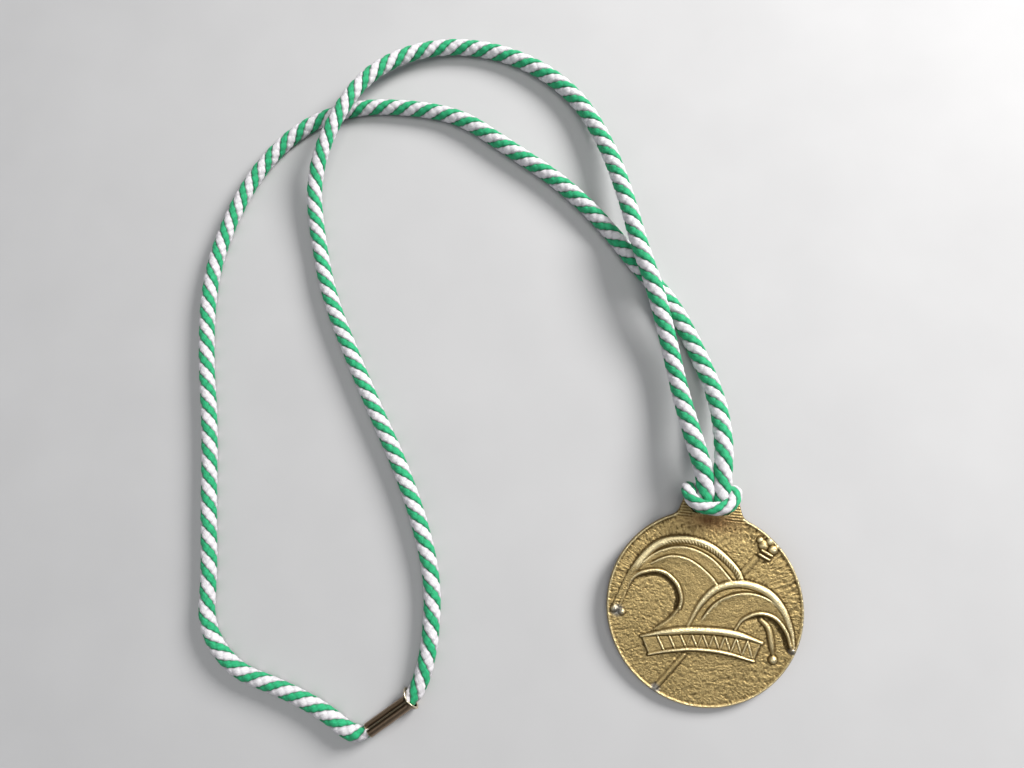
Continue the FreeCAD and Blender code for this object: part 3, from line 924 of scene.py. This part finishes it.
def make_medal(material):
    """The whole casting as one closed surface: front, back, and the walls of the rim and the slot."""
    outer, outer_side = outline(medal_distance, (0, 0), border_spacing)
    slot, slot_side = outline(slot_distance, (0, slot_middle_v), border_spacing)
    insets = (0.08, 0.2, 0.34, 0.5, 0.68)
    rings = [outer - outer_side * inset for inset in insets] + [slot + slot_side * inset for inset in insets]

    fine_u, fine_v = staggered(fine_spacing)
    coarse_u, coarse_v = staggered(coarse_spacing)

    def detail(u, v):
        nearest = np.full(u.shape, 99.0)
        for line in ridge_lines:
            nearest = np.minimum(nearest, along(line[::4] if len(line) > 8 else line, u, v)[0])
        for across, up, _, _ in ornament + bells:
            nearest = np.minimum(nearest, np.hypot(u - across, v - up) - 1.0)
        in_band = depth_inside(np.vstack([band_top[::4], band_bottom[::-4]]), u, v) > 0
        return (nearest < 1.15) | in_band

    def clear(u, v, margin):
        return (medal_distance(u, v) < -0.68 - margin) & (slot_distance(u, v) > 0.68 + margin)

    fine = clear(fine_u, fine_v, 0.1)
    fine[fine] = detail(fine_u[fine], fine_v[fine])
    coarse = clear(coarse_u, coarse_v, 0.14)
    coarse[coarse] = ~detail(coarse_u[coarse], coarse_v[coarse])
    inside_points = np.vstack([np.stack([fine_u[fine], fine_v[fine]], 1),
                               np.stack([coarse_u[coarse], coarse_v[coarse]], 1)])
    front, front_faces = filled([outer, slot], rings, inside_points)

    back_u, back_v = staggered(back_spacing)
    keep = (medal_distance(back_u, back_v) < -0.9) & (slot_distance(back_u, back_v) > 0.9)
    back_rings = [outer - outer_side * inset for inset in (0.25, 0.6)] + [slot + slot_side * 0.3]
    back, back_faces = filled([outer, slot], back_rings, np.stack([back_u[keep], back_v[keep]], 1))

    front_w = front_height(front[:, 0], front[:, 1])
    back_w = back_height(back[:, 0], back[:, 1])
    back_edge = np.minimum(-medal_distance(back[:, 0], back[:, 1]), slot_distance(back[:, 0], back[:, 1]))
    back_w = back_w + 0.25 * np.clip(1 - back_edge / 0.3, 0, 1) ** 2

    # walls between the two borders, in five bands, with the cast edge a little uneven
    bands = 5
    wall_points, wall_faces = [], []
    front_count, back_count = len(front), len(back)
    base = front_count + back_count
    for start, loop, side in ((0, outer, outer_side), (len(outer), slot, -slot_side)):
        count = len(loop)
        index = np.arange(count)
        rows = [start + index]
        for band in range(1, bands):
            share = band / bands
            w = front_w[start:start + count] * (1 - share) + back_w[start:start + count] * share
            uneven = 0.05 * (value_noise(loop[:, 0] * 1.3 + 70, loop[:, 1] * 1.3 + share * 4 + 70) - 0.5)
            bulge = 0.10 * math.sin(math.pi * share)
            place = loop + side * (bulge + uneven)[:, None]
            wall_points.append(np.column_stack([place, w]))
            rows.append(base + sum(len(p) for p in wall_points[:-1]) + index)
        rows.append(front_count + start + index)
        following = np.roll(index, -1)
        for upper, lower in zip(rows, rows[1:]):
            a = np.stack([upper, upper[following], lower[following]], -1)
            b = np.stack([upper, lower[following], lower], -1)
            wall_faces += [a, b] if start else [a[:, ::-1], b[:, ::-1]]
    plan = np.vstack([np.column_stack([front, front_w]), np.column_stack([back, back_w])] + wall_points)
    faces = np.vstack([front_faces, back_faces[:, ::-1] + front_count] + wall_faces)

    # how each point stands out from, or sinks under, its surroundings: rubbed bright with painted highlights
    # where it stands out, painted shade where it sinks
    edges = np.vstack([front_faces[:, [0, 1]], front_faces[:, [1, 2]], front_faces[:, [2, 0]]])
    soft = front_w.copy()
    for _ in range(10):
        soft = neighbour_mean(soft, edges)
    stands = front_w - soft
    # ridges rubbed bright: real wear, painted brighter on the highest crests as highlights
    standing = smooth_step(2.45, 3.1, front_w)
    wear_and_highlight = np.clip(stands / 0.12, 0, 1) * (0.30 + 0.70 * standing)
    wear_and_highlight = np.maximum(wear_and_highlight, 0.80 * smooth_step(2.86, 3.04, front_w))
    # painted highlights along the lit crests of the step lines
    for line in (left_second, left_third, right_second):
        distance, travelled, side, length = along(line[::2], front[:, 0], front[:, 1])
        crest = np.exp(-((-distance * side - 0.15) / 0.22) ** 2)
        crest = crest * smooth_step(0.02, 0.15, travelled / length)
        wear_and_highlight = np.maximum(wear_and_highlight, 0.85 * crest * (front_w < 2.98))
    # painted shade: dark where a point sinks under its surroundings, and a painted shadow under the lips of
    # the two curls
    hollow = np.clip(-stands / 0.15, 0, 1)
    for curl in (left_inner, right_inner):
        distance, travelled, side, length = along(curl[::2], front[:, 0], front[:, 1])
        under = smooth_step(1.9, 0.7, distance) * (side < 0) * smooth_step(0.2, 0.4, travelled / length)
        hollow = np.maximum(hollow, under * smooth_step(2.7, 2.3, front_w))
    # the back and the walls get a little rubbing and a little painted shade
    wear_and_highlight = np.concatenate([wear_and_highlight, np.full(len(plan) - front_count, 0.12)])
    hollow = np.concatenate([hollow, np.full(len(plan) - front_count, 0.25)])
    # a painted highlight along the band's top ridge
    band_highlight = np.exp(-(along(band_top[::4], plan[:, 0], plan[:, 1])[0] / 0.75) ** 4) * (plan[:, 2] > 2.9)
    wear_and_highlight = np.maximum(wear_and_highlight, band_highlight)
    # the rim rubbed bright, with a painted highlight line along it
    edge = -medal_distance(plan[:, 0], plan[:, 1])
    rim_rub_and_highlight = np.exp(-((edge - 0.35) / 0.25) ** 2) * (plan[:, 2] > 1.6) * (plan[:, 1] < 26)
    wear_and_highlight = np.maximum(wear_and_highlight, 0.65 * rim_rub_and_highlight)
    u, v = plan[:, 0], plan[:, 1]
    # painted shadow of the knot below the bridge
    painted_knot_shadow = 0.95 * np.exp(-((u - 0.8) / 7.5) ** 2 - ((v - 24.6) / 3.0) ** 2)
    bare = np.zeros(len(plan))
    for across, up, size in ((-24.4, -3.4, 1.7), (-12.0, -23.6, 1.3), (24.8, -9.2, 0.9)):
        bare = np.maximum(bare, np.exp(-(np.hypot(u - across, v - up) / size) ** 4))
    attributes = {"wear_and_highlight": wear_and_highlight, "hollow": hollow, "painted_knot_shadow": painted_knot_shadow, "bare": 0.9 * bare}
    return mesh_object("medal_relief", from_medal(u, v, plan[:, 2]), faces, material, attributes)


# ---- the studio -------------------------------------------------------------------------------------
def make_floor():
    """A plain pale floor, far larger than the view."""
    corners = np.array([(-1, -1, 0), (1, -1, 0), (1, 1, 0), (-1, 1, 0)]) * 3000.0
    floor = mesh_object("studio_floor", corners, [(0, 1, 2, 3)], floor_material())


def area_light(name, place, aim, size, power, colour=(1, 1, 1)):
    data = bpy.data.lights.new(name, "AREA")
    data.shape = "DISK"
    data.size = size
    data.energy = power
    data.color = colour
    light = bpy.data.objects.new(name, data)
    light.location = place
    light.rotation_mode = "QUATERNION"
    light.rotation_quaternion = (Vector(aim) - Vector(place)).to_track_quat("-Z", "Y")
    bpy.context.scene.collection.objects.link(light)


def make_lights():
    middle = (-0.05, 0.06, 0)
    area_light("window", (0.50, 0.56, 0.42), middle, 0.36, 13.0, (1.0, 0.985, 0.96))
    area_light("overhead", (0.10, 0.10, 0.95), middle, 0.60, 3.0, (1.0, 0.98, 0.93))
    area_light("fill", (-0.60, -0.15, 0.55), middle, 0.80, 1.2, (0.96, 0.98, 1.0))
    world = bpy.data.worlds.new("studio")
    world.use_nodes = True
    world.node_tree.nodes["Background"].inputs["Color"].default_value = (0.80, 0.84, 0.90, 1)
    world.node_tree.nodes["Background"].inputs["Strength"].default_value = 0.20
    bpy.context.scene.world = world
    bpy.context.scene.view_settings.view_transform = "Standard"


def make_camera():
    """The camera stands almost over the medal's upper left and looks a little up the cord."""
    right = Vector((0.98986, 0.10273, -0.09806))
    up = Vector((-0.08509, 0.98182, 0.16965))
    back = right.cross(up).normalized()
    up = back.cross(right)
    data = bpy.data.cameras.new("camera")
    data.sensor_width = 36
    data.lens = 27.04
    data.clip_start = 0.01
    camera = bpy.data.objects.new("camera", data)
    turn = Matrix((right, up, back)).transposed()
    camera.matrix_world = Matrix.Translation(Vector((-34.66, 19.89, 234.46)) * MM) @ turn.to_4x4()
    bpy.context.scene.collection.objects.link(camera)
    bpy.context.scene.camera = camera


# ---- put it together --------------------------------------------------------------------------------
# each cord colour: dark, mid and light; dark is painted into the grooves as shade and also darkens random
# tufts
green = cord_material("cord_green", (0.002, 0.080, 0.030, 1), (0.008, 0.335, 0.130, 1),
                      (0.030, 0.490, 0.225, 1))
white = cord_material("cord_white", (0.30, 0.29, 0.32, 1), (0.66, 0.64, 0.67, 1), (0.82, 0.80, 0.83, 1))

medal = make_medal(brass_material())
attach(medal, "medal")
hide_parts("medal_casting")

green_stripes, white_stripes, cord_path = make_cord(green, white)
for stripe_set in (green_stripes, white_stripes):
    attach(stripe_set, "neck_cord")
    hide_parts("cord_left_run", "cord_knot", "cord_right_run")

sleeve = make_sleeve(sleeve_material())
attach(sleeve, "neck_cord")
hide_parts("crimp_sleeve")

make_floor()
make_lights()
make_camera()
